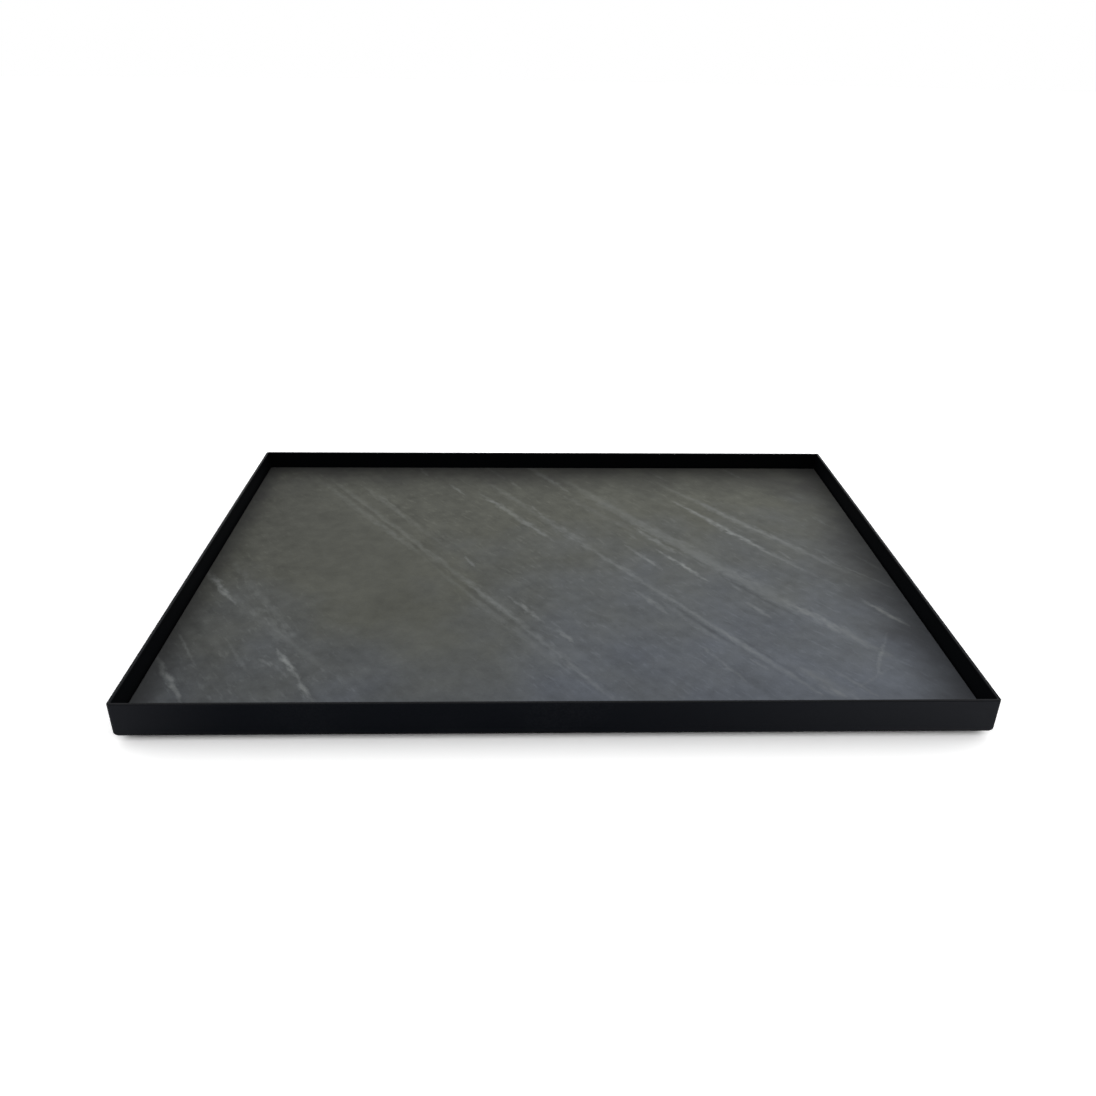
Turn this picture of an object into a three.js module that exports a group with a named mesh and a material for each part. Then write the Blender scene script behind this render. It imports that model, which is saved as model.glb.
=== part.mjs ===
// A rectangular decorative tray: a pan folded from sheet steel and welded at its corners, with a thin
// stone slab bonded to its floor on strips of foam tape, standing on four rubber bumper feet.
// Millimetres, +Z up. X runs along the tray and Y from its front to its rear.
// The origin is on the table, under the middle of the tray.
import * as THREE from 'three';

// Pan, outside sizes
const trayLength = 400;
const trayDepth = 300;
const wallHeight = 18.5; // from the pan's underside to its rim
const sheetThickness = 1.5;
const bendRadius = 1.5; // inside the fold between floor and wall
const cornerRadius = 1.5; // outside each upright corner, where the weld is ground round
const weldFillet = 0.75; // inside the same corner
const rimEase = 0.25; // rounding of the rim's two edges

// Slab
const slabThickness = 5;
const slabClearance = 0.4; // between the slab's edge and the pan, all round
const slabArris = 0.5; // chamfer along the slab's edges

// Foam tape under the slab
const tapeThickness = 1;
const tapeWidth = 19;
const tapeSetback = 6; // from the slab's edge to the tape
const tapeGap = 2; // between the ends of neighbouring strips

// Bumper feet
const footHeight = 1.5;
const footBaseDiameter = 12.5; // the face stuck to the pan
const footTipDiameter = 11; // where the sides would meet the table, before rounding
const footEdgeRadius = 0.5;
const footInset = 28; // from the tray's sides to the middle of a foot

// Facets along each arc
const bendSteps = 5;
const cornerSteps = 3;
const footEdgeSteps = 2;
const footSegments = 32;

const quarterTurn = Math.PI / 2;
const outsideBend = bendRadius + sheetThickness;
const insideCorner = Math.max(weldFillet, cornerRadius - sheetThickness);
const floorTop = footHeight + sheetThickness;
const slabBottom = floorTop + tapeThickness;

// How far the fold still stands in from the wall at the height of the slab's underside.
const foldRise = Math.max(bendRadius - tapeThickness, 0);
const foldReach = bendRadius - Math.sqrt(bendRadius ** 2 - foldRise ** 2);
const slabInset = sheetThickness + foldReach + slabClearance;
const slabLength = trayLength - 2 * slabInset;
const slabDepth = trayDepth - 2 * slabInset;

const powderCoat = { color: 0x15171a, roughness: 0.5, metalness: 0 };
const veinedStone = { color: 0x5a5b59, roughness: 0.6, metalness: 0 };
const foamTape = { color: 0x2e2f31, roughness: 0.9, metalness: 0 };
const softRubber = { color: 0x1b1b1c, roughness: 0.8, metalness: 0 };

function subPart(name, geometry, finish) {
  const mesh = new THREE.Mesh(geometry, new THREE.MeshStandardMaterial(finish));
  mesh.name = name;
  return mesh;
}

// A rectangle about the origin with rounded corners, drawn anticlockwise.
function roundedRectangle(length, depth, radius) {
  const x = length / 2 - radius;
  const y = depth / 2 - radius;
  const outline = new THREE.Shape();
  outline.absarc(x, y, radius, 0, quarterTurn);
  outline.absarc(-x, y, radius, quarterTurn, 2 * quarterTurn);
  outline.absarc(-x, -y, radius, 2 * quarterTurn, 3 * quarterTurn);
  outline.absarc(x, -y, radius, 3 * quarterTurn, 4 * quarterTurn);
  return outline;
}

// The outside of the folded sheet, from the underside round the fold and up to the rim.
// A section's x is the distance in from the tray's side, and its y the height above the underside.
function outsideSection() {
  const section = new THREE.Path();
  section.absarc(outsideBend, outsideBend, outsideBend, -quarterTurn, -2 * quarterTurn, true);
  section.absarc(rimEase, wallHeight - rimEase, rimEase, 2 * quarterTurn, quarterTurn, true);
  return section.getPoints(bendSteps);
}

// The inside of the same sheet, from the rim down the wall and round the fold to the floor.
function insideSection() {
  const section = new THREE.Path();
  section.absarc(sheetThickness - rimEase, wallHeight - rimEase, rimEase, quarterTurn, 0, true);
  section.absarc(outsideBend, outsideBend, bendRadius, 2 * quarterTurn, 3 * quarterTurn);
  return section.getPoints(bendSteps);
}

// One ring round the pan for each point of a section.
function ringsRound(section, radius) {
  return section.map((point) => {
    const outline = roundedRectangle(trayLength - 2 * point.x, trayDepth - 2 * point.x, radius);
    return outline.getPoints(cornerSteps).map((corner) => new THREE.Vector3(corner.x, corner.y, point.y));
  });
}

// A closed skin through rings that all have the same number of points, with its two ends filled.
function loft(rings) {
  const count = rings[0].length;
  const lastRing = (rings.length - 1) * count;
  const triangles = [];
  for (let ring = 0; ring < lastRing; ring += count) {
    for (let i = 0; i < count; i += 1) {
      const next = (i + 1) % count;
      triangles.push(ring + i, ring + next, ring + count + next);
      triangles.push(ring + i, ring + count + next, ring + count + i);
    }
  }
  for (const [a, b, c] of THREE.ShapeUtils.triangulateShape(rings[0], [])) {
    triangles.push(a, c, b);
  }
  for (const [a, b, c] of THREE.ShapeUtils.triangulateShape(rings.at(-1), [])) {
    triangles.push(lastRing + a, lastRing + b, lastRing + c);
  }
  const geometry = new THREE.BufferGeometry().setFromPoints(rings.flat());
  geometry.setIndex(triangles);
  geometry.computeVertexNormals();
  return geometry;
}

function steelPan() {
  const outside = ringsRound(outsideSection(), cornerRadius);
  const inside = ringsRound(insideSection(), insideCorner);
  const pan = subPart('steel_pan', loft([...outside, ...inside]), powderCoat);
  pan.position.z = footHeight;
  return pan;
}

// The slab's corners clear the weld fillet, and stay round inside the chamfer.
function stoneSlab() {
  const outline = roundedRectangle(slabLength, slabDepth, insideCorner + slabArris);
  const geometry = new THREE.ExtrudeGeometry(outline, {
    depth: slabThickness - 2 * slabArris,
    bevelThickness: slabArris,
    bevelSize: slabArris,
    bevelOffset: -slabArris,
    bevelSegments: 1,
    curveSegments: cornerSteps,
  });
  const slab = subPart('stone_slab', geometry, veinedStone);
  slab.position.z = slabBottom + slabArris;
  return slab;
}

// A strip of tape on the pan's floor, given by its middle and its size along X and Y.
function tapeStrip(name, x, y, length, depth) {
  const strip = subPart(name, new THREE.BoxGeometry(length, depth, tapeThickness), foamTape);
  strip.position.set(x, y, floorTop + tapeThickness / 2);
  return strip;
}

// Two long strips under the slab's long edges, with three short ones between them.
function bondTapes() {
  const longLength = slabLength - 2 * tapeSetback;
  const longOffset = slabDepth / 2 - tapeSetback - tapeWidth / 2;
  const shortLength = 2 * longOffset - tapeWidth - 2 * tapeGap;
  const shortOffset = slabLength / 2 - tapeSetback - tapeWidth / 2;
  const tapes = new THREE.Group();
  tapes.add(
    tapeStrip('bond_tape_front', 0, -longOffset, longLength, tapeWidth),
    tapeStrip('bond_tape_rear', 0, longOffset, longLength, tapeWidth),
    tapeStrip('bond_tape_left', -shortOffset, 0, tapeWidth, shortLength),
    tapeStrip('bond_tape_right', shortOffset, 0, tapeWidth, shortLength),
    tapeStrip('bond_tape_centre', 0, 0, tapeWidth, shortLength),
  );
  return tapes;
}

// A round bumper, turned about its axis: flat underneath, round at the lower edge, wider at the stuck face.
function bumperGeometry() {
  const flatRadius = footTipDiameter / 2 - footEdgeRadius;
  const profile = new THREE.Path();
  profile.moveTo(0, 0);
  profile.lineTo(flatRadius, 0);
  profile.absarc(flatRadius, footEdgeRadius, footEdgeRadius, -quarterTurn, 0);
  profile.lineTo(footBaseDiameter / 2, footHeight);
  profile.lineTo(0, footHeight);
  return new THREE.LatheGeometry(profile.getPoints(footEdgeSteps), footSegments).rotateX(quarterTurn);
}

function bumperFeet() {
  const x = trayLength / 2 - footInset;
  const y = trayDepth / 2 - footInset;
  const corners = { front_left: [-x, -y], front_right: [x, -y], rear_left: [-x, y], rear_right: [x, y] };
  const feet = new THREE.Group();
  for (const [corner, [footX, footY]] of Object.entries(corners)) {
    const foot = subPart(`bumper_foot_${corner}`, bumperGeometry(), softRubber);
    foot.position.set(footX, footY, 0);
    feet.add(foot);
  }
  return feet;
}

const tray = new THREE.Group();
tray.add(steelPan(), stoneSlab(), bondTapes(), bumperFeet());

export default tray;
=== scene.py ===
"""Looks of a low rectangular tray: black powder-coated steel pan, veined stone slab, rubber feet.

Metres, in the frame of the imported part: +X along the tray, +Y to its rear, +Z up.
"""

import logging
import math
from dataclasses import dataclass
from enum import Enum
from functools import cached_property
from typing import ClassVar

import bmesh
import bpy
from mathutils import Matrix, Vector


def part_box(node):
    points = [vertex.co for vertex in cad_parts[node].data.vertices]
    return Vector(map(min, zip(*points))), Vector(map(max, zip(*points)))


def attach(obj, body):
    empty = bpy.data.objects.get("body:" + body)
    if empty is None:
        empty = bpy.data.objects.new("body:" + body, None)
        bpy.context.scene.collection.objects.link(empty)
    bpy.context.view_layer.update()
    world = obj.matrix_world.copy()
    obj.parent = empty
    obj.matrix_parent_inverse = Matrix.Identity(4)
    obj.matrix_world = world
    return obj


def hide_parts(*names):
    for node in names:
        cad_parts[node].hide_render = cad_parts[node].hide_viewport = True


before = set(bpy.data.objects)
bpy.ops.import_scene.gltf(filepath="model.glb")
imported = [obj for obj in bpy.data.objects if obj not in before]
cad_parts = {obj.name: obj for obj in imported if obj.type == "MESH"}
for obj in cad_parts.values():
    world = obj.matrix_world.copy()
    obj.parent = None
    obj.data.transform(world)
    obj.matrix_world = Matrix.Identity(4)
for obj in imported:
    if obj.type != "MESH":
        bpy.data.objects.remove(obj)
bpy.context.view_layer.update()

LOG = logging.getLogger("tray")
MM = 0.001
PER_MM = 1000.0
BODY = "root"
PAN_NODE = "steel_pan"
SLAB_NODE = "stone_slab"
QUARTER_TURN = 90.0
VEIN_ANGLE = math.radians(55.0)
NOISE_MIDDLE = 0.5

Colour = tuple[float, float, float, float]
Place = tuple[float, float, float]
Point = tuple[float, float]
Range = tuple[float, float]
Feed = bpy.types.NodeSocket | float | tuple


class Slot(Enum):
    """The material slots, whose values name the materials."""

    POWDER_COAT = "powder_coat"
    VEINED_STONE = "veined_stone"
    FOAM_TAPE = "foam_tape"
    FOOT_RUBBER = "foot_rubber"


class VeinKind(Enum):
    """What a line in the stone is: its half width in millimetres, its strength and how broken it is."""

    BAND = (8.0, 0.15, 0.4)
    RIBBON = (5.4, 0.185, 0.65)
    THREAD = (2.4, 0.30, 0.72)
    BRIGHT = (2.8, 0.60, 0.68)
    SHADE = (3.2, -0.24, 0.5)
    CALM = (62.0, 1.0, 0.0)


class Graph:
    """Adds nodes to one node tree and feeds them."""

    def __init__(self, tree: bpy.types.NodeTree) -> None:
        """Keeps the tree that the nodes go into."""
        self.tree = tree

    @classmethod
    def emptied(cls, owner: bpy.types.Material | bpy.types.World) -> "Graph":
        """The graph of a new material or sky, without the nodes that it starts with.

        Args:
            owner: the material or the sky.

        Returns:
            The graph.
        """
        owner.use_nodes = True
        owner.node_tree.nodes.clear()
        return cls(owner.node_tree)

    def feed(self, node: bpy.types.Node, key: int | str, value: Feed) -> None:
        """Links one of a node's inputs to a socket, or sets it to a constant.

        Args:
            node: the node.
            key: the input's index or name.
            value: the socket or the constant.
        """
        if isinstance(value, bpy.types.NodeSocket):
            self.tree.links.new(value, node.inputs[key])
        else:
            node.inputs[key].default_value = value

    def add(
        self, kind: str, feeds: dict[int | str, Feed] | None = None, **settings: object
    ) -> bpy.types.Node:
        """Adds a node.

        Args:
            kind: the node's type name.
            feeds: a socket or a constant for each input, by its index or name.
            settings: the node's own properties, set before its inputs.

        Returns:
            The new node.
        """
        node = self.tree.nodes.new(kind)
        for name, value in settings.items():
            setattr(node, name, value)
        for key, value in (feeds or {}).items():
            self.feed(node, key, value)
        return node

    def math(self, operation: str, *values: Feed) -> bpy.types.NodeSocket:
        """A Math node's result."""
        return self.add("ShaderNodeMath", dict(enumerate(values)), operation=operation).outputs[0]

    def vector(self, operation: str, *values: Feed) -> bpy.types.NodeSocket:
        """A Vector Math node's result as a vector."""
        node = self.add("ShaderNodeVectorMath", dict(enumerate(values)), operation=operation)
        return node.outputs["Vector"]

    def dot(self, a: Feed, b: Feed) -> bpy.types.NodeSocket:
        """The dot product of two vectors."""
        node = self.add("ShaderNodeVectorMath", {0: a, 1: b}, operation="DOT_PRODUCT")
        return node.outputs["Value"]

    def scaled(self, vector: Feed, factor: Feed) -> bpy.types.NodeSocket:
        """A vector times a number."""
        node = self.add("ShaderNodeVectorMath", {0: vector, "Scale": factor}, operation="SCALE")
        return node.outputs["Vector"]

    def noise(self, point: Feed, scale: Feed, detail: float = 2.0) -> bpy.types.Node:
        """Noise with about scale features to one unit of the point."""
        return self.add("ShaderNodeTexNoise", {"Vector": point, "Scale": scale, "Detail": detail})

    def span(
        self, value: Feed, low: Feed, high: Feed, start: Feed = 0.0, end: Feed = 1.0, smooth: bool = False
    ) -> bpy.types.NodeSocket:
        """Maps a value from low..high to start..end and clamps it there.

        Args:
            value: what is mapped.
            low: the value that gives start.
            high: the value that gives end.
            start: the result at low.
            end: the result at high.
            smooth: whether the step between them is eased.

        Returns:
            The mapped value.
        """
        return self.add(
            "ShaderNodeMapRange",
            {"Value": value, "From Min": low, "From Max": high, "To Min": start, "To Max": end},
            interpolation_type="SMOOTHSTEP" if smooth else "LINEAR",
        ).outputs["Result"]

    def mix(self, share: Feed, first: Feed, second: Feed) -> bpy.types.NodeSocket:
        """A colour between two colours."""
        return self.add("ShaderNodeMix", {0: share, 6: first, 7: second}, data_type="RGBA").outputs[2]


class ShaderGroups:
    """Node groups that the finishes share, each built once."""

    FILM_RANGE = (0.45, 0.75)
    SPECK_RANGE = (0.35, 0.7)
    VEIN_SWELL = (0.6, 1.2)
    LEAST_REACH = 0.01
    # Brings share * (1 - share) up to 1 in the middle of a line.
    HUMP_SCALE = 4.0

    def __init__(self) -> None:
        """Builds every group."""
        self.grain = self._grain()
        self.dust = self._dust()
        self.vein = self._vein()

    @staticmethod
    def _open(
        name: str, vectors: tuple[str, ...], numbers: tuple[str, ...], result: str
    ) -> tuple[Graph, bpy.types.NodeOutputs]:
        """Starts a group that results in one number.

        Args:
            name: the group's name.
            vectors: the names of its inputs that are vectors.
            numbers: the names of its inputs that are numbers.
            result: the name of its output.

        Returns:
            The graph to fill, and the group's inputs to read.
        """
        tree = bpy.data.node_groups.new(name, "ShaderNodeTree")
        kinds = {**dict.fromkeys(vectors, "NodeSocketVector"), **dict.fromkeys(numbers, "NodeSocketFloat")}
        for label, kind in kinds.items():
            tree.interface.new_socket(name=label, in_out="INPUT", socket_type=kind)
        tree.interface.new_socket(name=result, in_out="OUTPUT", socket_type="NodeSocketFloat")
        graph = Graph(tree)
        return graph, graph.add("NodeGroupInput").outputs

    def _grain(self) -> bpy.types.NodeTree:
        """Fine even grain: the mean of coarse and fine noise, about 0.5.

        Returns:
            The group.
        """
        graph, given = self._open("fine_grain", ("Point",), ("Coarse Scale", "Fine Scale"), "Grain")
        coarse = graph.noise(given["Point"], given["Coarse Scale"]).outputs[0]
        fine = graph.noise(given["Point"], given["Fine Scale"]).outputs[0]
        mean = graph.math("DIVIDE", graph.math("ADD", coarse, fine), 2.0)
        graph.add("NodeGroupOutput", {"Grain": mean})
        return graph.tree

    def _dust(self) -> bpy.types.NodeTree:
        """A thin film of handling dust: soft patches broken up by specks, from 0 to 1.

        Returns:
            The group.
        """
        graph, given = self._open("handling_dust", ("Point",), ("Patch Scale", "Speck Scale"), "Dust")
        patches = graph.noise(given["Point"], given["Patch Scale"]).outputs[0]
        specks = graph.noise(given["Point"], given["Speck Scale"]).outputs[0]
        film = graph.span(patches, *self.FILM_RANGE, smooth=True)
        broken = graph.span(specks, *self.SPECK_RANGE)
        graph.add("NodeGroupOutput", {"Dust": graph.math("MULTIPLY", film, broken)})
        return graph.tree

    def _vein(self) -> bpy.types.NodeTree:
        """One line in the stone, added to the tone of the lines before it.

        The line bows sideways by Bow at its middle, thins and fades towards both ends, swells where Chips
        is high, and is left out by the share Broken where Chips is low.

        Returns:
            The group.
        """
        graph, given = self._open(
            "vein",
            ("Point", "Start", "Along", "Across"),
            ("Tone", "Length", "Bow", "Half Width", "Strength", "Broken", "Chips"),
            "Tone",
        )
        offset = graph.vector("SUBTRACT", given["Point"], given["Start"])
        share = graph.span(graph.dot(offset, given["Along"]), 0.0, given["Length"])
        rest = graph.math("SUBTRACT", 1.0, share)
        hump = graph.math("MULTIPLY", graph.math("MULTIPLY", share, rest), self.HUMP_SCALE)
        sideways = graph.math("MULTIPLY", hump, given["Bow"])
        aside = graph.math("SUBTRACT", graph.dot(offset, given["Across"]), sideways)
        fade = graph.math("SQRT", hump)
        swell = graph.span(given["Chips"], 0.0, 1.0, *self.VEIN_SWELL)
        spread = graph.math("MULTIPLY", fade, swell)
        reach = graph.math("MULTIPLY_ADD", spread, given["Half Width"], self.LEAST_REACH)
        core = graph.span(graph.math("ABSOLUTE", aside), 0.0, reach, 1.0, 0.0, smooth=True)
        kept = graph.span(given["Chips"], 0.0, 1.0, graph.math("SUBTRACT", 1.0, given["Broken"]), 1.0)
        strength = graph.math("MULTIPLY", graph.math("MULTIPLY", fade, kept), given["Strength"])
        graph.add("NodeGroupOutput", {"Tone": graph.math("MULTIPLY_ADD", core, strength, given["Tone"])})
        return graph.tree


@dataclass(frozen=True)
class Vein:
    """A line in the stone, in millimetres from the slab's middle.

    Args:
        kind: what the line is.
        start: where it starts, towards the rear.
        end: where it ends, towards the front.
        bow: how far its middle stands to the left of the straight line, seen from the start.
        strength: its strength as a share of what its kind usually has.
        width: its width as a share of what its kind usually has.
    """

    kind: VeinKind
    start: Point
    end: Point
    bow: float = 0.0
    strength: float = 1.0
    width: float = 1.0

    def draw(
        self, graph: Graph, group: bpy.types.NodeTree, point: Feed, chips: Feed, tone: Feed
    ) -> bpy.types.NodeSocket:
        """Adds the line to a material.

        Args:
            graph: the material's graph.
            group: the vein group.
            point: the place on the slab, in millimetres.
            chips: where broken lines show, from 0 to 1.
            tone: the tone of the lines before it.

        Returns:
            The tone with this line added.
        """
        half_width, usual, broken = self.kind.value
        line = Vector(self.end) - Vector(self.start)
        along = line.normalized()
        feeds = {
            "Tone": tone,
            "Point": point,
            "Start": (*self.start, 0.0),
            "Along": (along.x, along.y, 0.0),
            "Across": (-along.y, along.x, 0.0),
            "Length": line.length,
            "Bow": self.bow,
            "Half Width": half_width * self.width,
            "Strength": usual * self.strength,
            "Broken": broken,
            "Chips": chips,
        }
        return graph.add("ShaderNodeGroup", feeds, node_tree=group).outputs["Tone"]


VEINS = (
    # Left of the middle: a close pair from the rear to the front, and a third line to its right.
    Vein(VeinKind.RIBBON, (-163, 131), (-74, 8), strength=0.85),
    Vein(VeinKind.RIBBON, (-152, 128), (-62, -2)),
    Vein(VeinKind.RIBBON, (-76, 22), (28, -136), strength=1.2),
    Vein(VeinKind.RIBBON, (-72, 4), (14, -122), strength=0.6),
    Vein(VeinKind.SHADE, (-150, 121), (-72, 10), strength=0.6),
    Vein(VeinKind.SHADE, (-78, 14), (12, -112), strength=0.8),
    Vein(VeinKind.RIBBON, (-130, 119), (-64, 24), strength=0.75, width=0.9),
    Vein(VeinKind.THREAD, (-114, 102), (-98, 76), strength=0.3),
    Vein(VeinKind.SHADE, (-108, 94), (-66, 34), strength=0.8, width=0.8),
    # Through the middle: a bright thread with a soft band, and a long line that runs on to the front.
    Vein(VeinKind.BRIGHT, (-45, 102), (5, 28), strength=0.5, width=1.3),
    Vein(VeinKind.BAND, (-48, 106), (8, 26), strength=0.7, width=0.7),
    Vein(VeinKind.THREAD, (-68, 119), (-55, 98), strength=0.9),
    Vein(VeinKind.RIBBON, (-42, 123), (40, -2), width=1.2),
    Vein(VeinKind.THREAD, (-10, 84), (-2, 62), strength=0.8),
    Vein(VeinKind.RIBBON, (20, 28), (84, -68), strength=1.2, width=0.7),
    Vein(VeinKind.RIBBON, (66, -41), (128, -134), strength=1.3, width=0.8),
    Vein(VeinKind.SHADE, (66, -47), (94, -90), strength=1.2, width=0.8),
    Vein(VeinKind.SHADE, (92, -74), (114, -108), strength=0.8, width=0.6),
    Vein(VeinKind.RIBBON, (60, -43), (90, -90), strength=0.9, width=0.6),
    Vein(VeinKind.RIBBON, (46, -29), (63, -57), strength=1.3, width=0.7),
    # Right of the middle: a broad band with its shades, and bright threads on its left.
    Vein(VeinKind.RIBBON, (-14, 152), (16, 104), strength=1.2, width=0.8),
    Vein(VeinKind.THREAD, (4, 126), (18, 100), strength=0.7),
    Vein(VeinKind.BAND, (10, 130), (174, -104), bow=-3.0, strength=1.3, width=1.3),
    Vein(VeinKind.RIBBON, (126, -38), (170, -98)),
    Vein(VeinKind.SHADE, (56, 50), (98, -10), strength=0.6, width=0.8),
    Vein(VeinKind.SHADE, (98, -14), (132, -60), strength=1.1, width=0.9),
    Vein(VeinKind.RIBBON, (8, 104), (62, 34), strength=0.6, width=0.9),
    Vein(VeinKind.BRIGHT, (65, 20), (91, -22), strength=0.9),
    Vein(VeinKind.BRIGHT, (54, 50), (77, 13), strength=0.5, width=1.4),
    Vein(VeinKind.BRIGHT, (46, 26), (67, -8), strength=0.6),
    Vein(VeinKind.THREAD, (50, 40), (55, 31), strength=0.6),
    # At the right: a bright line, and the band beside it that runs on to the wall.
    Vein(VeinKind.BRIGHT, (84, 92), (128, 24), strength=0.75, width=1.7),
    Vein(VeinKind.RIBBON, (84, 91), (160, -24), strength=0.9, width=0.7),
    Vein(VeinKind.THREAD, (118, 40), (146, -5), width=1.3),
    Vein(VeinKind.THREAD, (140, 18), (145, 4), strength=0.8),
    Vein(VeinKind.BAND, (78, 121), (176, -13), strength=1.4, width=0.75),
    Vein(VeinKind.RIBBON, (90, 105), (172, -8), strength=0.5, width=0.8),
    Vein(VeinKind.THREAD, (165, 12), (173, -4)),
    Vein(VeinKind.THREAD, (173, -1), (196, -31), strength=1.3),
    # Bright dashes beside the close pair.
    Vein(VeinKind.BRIGHT, (-25, -36), (-4, -66), strength=0.5, width=0.85),
    Vein(VeinKind.BRIGHT, (2, -70), (10, -84), strength=0.45),
    # The left front corner: broken bright lines.
    Vein(VeinKind.BRIGHT, (-204, 1), (-172, -46), strength=0.75, width=1.4),
    Vein(VeinKind.BAND, (-182, -30), (-112, -108), strength=0.8),
    Vein(VeinKind.RIBBON, (-192, 12), (-130, -84), strength=0.5),
    Vein(VeinKind.BRIGHT, (-199, -94), (-172, -136), strength=0.8, width=1.2),
    Vein(VeinKind.BRIGHT, (-141, -88), (-123, -117), strength=0.75),
    Vein(VeinKind.BRIGHT, (-125, -115), (-112, -136), strength=0.65),
    Vein(VeinKind.THREAD, (-148, -98), (-138, -104), strength=0.6),
    Vein(VeinKind.THREAD, (-196, -72), (-174, -108)),
    Vein(VeinKind.THREAD, (-168, -80), (-150, -110), strength=0.6),
    # The right front: a bright streak at the wall, short threads and a fork.
    Vein(VeinKind.BRIGHT, (172, -41), (190, -70), strength=1.3, width=1.3),
    Vein(VeinKind.THREAD, (107, -43), (118, -62), strength=0.9, width=1.2),
    Vein(VeinKind.THREAD, (102, -22), (108, -34), strength=0.6),
    Vein(VeinKind.THREAD, (177, -72), (155, -117), strength=0.7, width=0.7),
    Vein(VeinKind.BAND, (108, -94), (146, -138), strength=0.5, width=1.3),
    Vein(VeinKind.RIBBON, (120, -106), (138, -134), strength=0.8),
    Vein(VeinKind.THREAD, (134, -106), (152, -132), strength=0.6),
    Vein(VeinKind.THREAD, (168, -106), (138, -128), strength=0.3, width=0.8),
    # Short threads over the rest.
    Vein(VeinKind.THREAD, (75, -88), (92, -120), strength=0.8),
    Vein(VeinKind.THREAD, (97, -99), (105, -110), strength=0.8),
    Vein(VeinKind.THREAD, (185, 12), (198, -12), strength=0.9),
    Vein(VeinKind.THREAD, (174, 66), (182, 50), strength=0.6),
    Vein(VeinKind.THREAD, (-45, 152), (-27, 126), strength=0.6),
    Vein(VeinKind.THREAD, (-25, 126), (-18, 108), strength=0.6),
    Vein(VeinKind.THREAD, (-91, 148), (-83, 132)),
    Vein(VeinKind.THREAD, (75, 142), (86, 124), strength=0.8),
    Vein(VeinKind.THREAD, (129, 148), (141, 128)),
    Vein(VeinKind.THREAD, (-51, 12), (-44, -4), strength=1.2),
    # A wide shade over the left front corner.
    Vein(VeinKind.SHADE, (-212, -30), (-135, -165), strength=0.4, width=9.0),
)

# Drawn like a line, but only to tell where the stone is calm.
CALM_ZONE = Vein(VeinKind.CALM, (-176, 110), (-19, -160))


def half_size(node: str) -> Point:
    """Half of a CAD node's size along X and Y, in millimetres."""
    low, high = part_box(node)
    return (high.x - low.x) * PER_MM / 2, (high.y - low.y) * PER_MM / 2


@dataclass(frozen=True)
class Finish:
    """A procedural finish: makes one material round a Principled shader.

    Args:
        groups: the shared node groups.
    """

    slot: ClassVar[Slot]
    grain_range: ClassVar[Range] = (0.3, 0.7)
    groups: ShaderGroups

    @cached_property
    def material(self) -> bpy.types.Material:
        """The material, named after its slot."""
        return bpy.data.materials.new(self.slot.value)

    @cached_property
    def graph(self) -> Graph:
        """The material's graph."""
        return Graph.emptied(self.material)

    @cached_property
    def shader(self) -> bpy.types.Node:
        """The material's shader, which its output shows.

        Returns:
            The Principled node.
        """
        shader = self.graph.add("ShaderNodeBsdfPrincipled")
        self.graph.add("ShaderNodeOutputMaterial", {"Surface": shader.outputs[0]})
        return shader

    @cached_property
    def point(self) -> bpy.types.NodeSocket:
        """A place on the piece, in millimetres."""
        place = self.graph.add("ShaderNodeTexCoord").outputs["Object"]
        return self.graph.scaled(place, PER_MM)

    def feed(self, name: str, value: Feed) -> None:
        """Links one of the shader's inputs to a socket, or sets it to a constant."""
        self.graph.feed(self.shader, name, value)

    def texture(self, grain: Feed, roughness: Range, depth: float) -> None:
        """Makes the surface rough and uneven by its grain.

        Args:
            grain: the fine grain, about 0.5.
            roughness: how rough the surface is in the grain's hollows and on its tops.
            depth: how deep the grain is, in metres.
        """
        self.feed("Roughness", self.graph.span(grain, *self.grain_range, *roughness))
        bump = self.graph.add("ShaderNodeBump", {"Height": grain, "Distance": depth, "Strength": 1.0})
        self.feed("Normal", bump.outputs[0])

    def grain(self, coarse: float, fine: float) -> bpy.types.NodeSocket:
        """Fine even grain with features of two sizes, in millimetres."""
        feeds = {"Point": self.point, "Coarse Scale": 1.0 / coarse, "Fine Scale": 1.0 / fine}
        return self.graph.add("ShaderNodeGroup", feeds, node_tree=self.groups.grain).outputs["Grain"]

    def dust(self, patch: float, speck: float) -> bpy.types.NodeSocket:
        """Handling dust in patches and specks of these sizes, in millimetres."""
        feeds = {"Point": self.point, "Patch Scale": 1.0 / patch, "Speck Scale": 1.0 / speck}
        return self.graph.add("ShaderNodeGroup", feeds, node_tree=self.groups.dust).outputs["Dust"]


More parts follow.
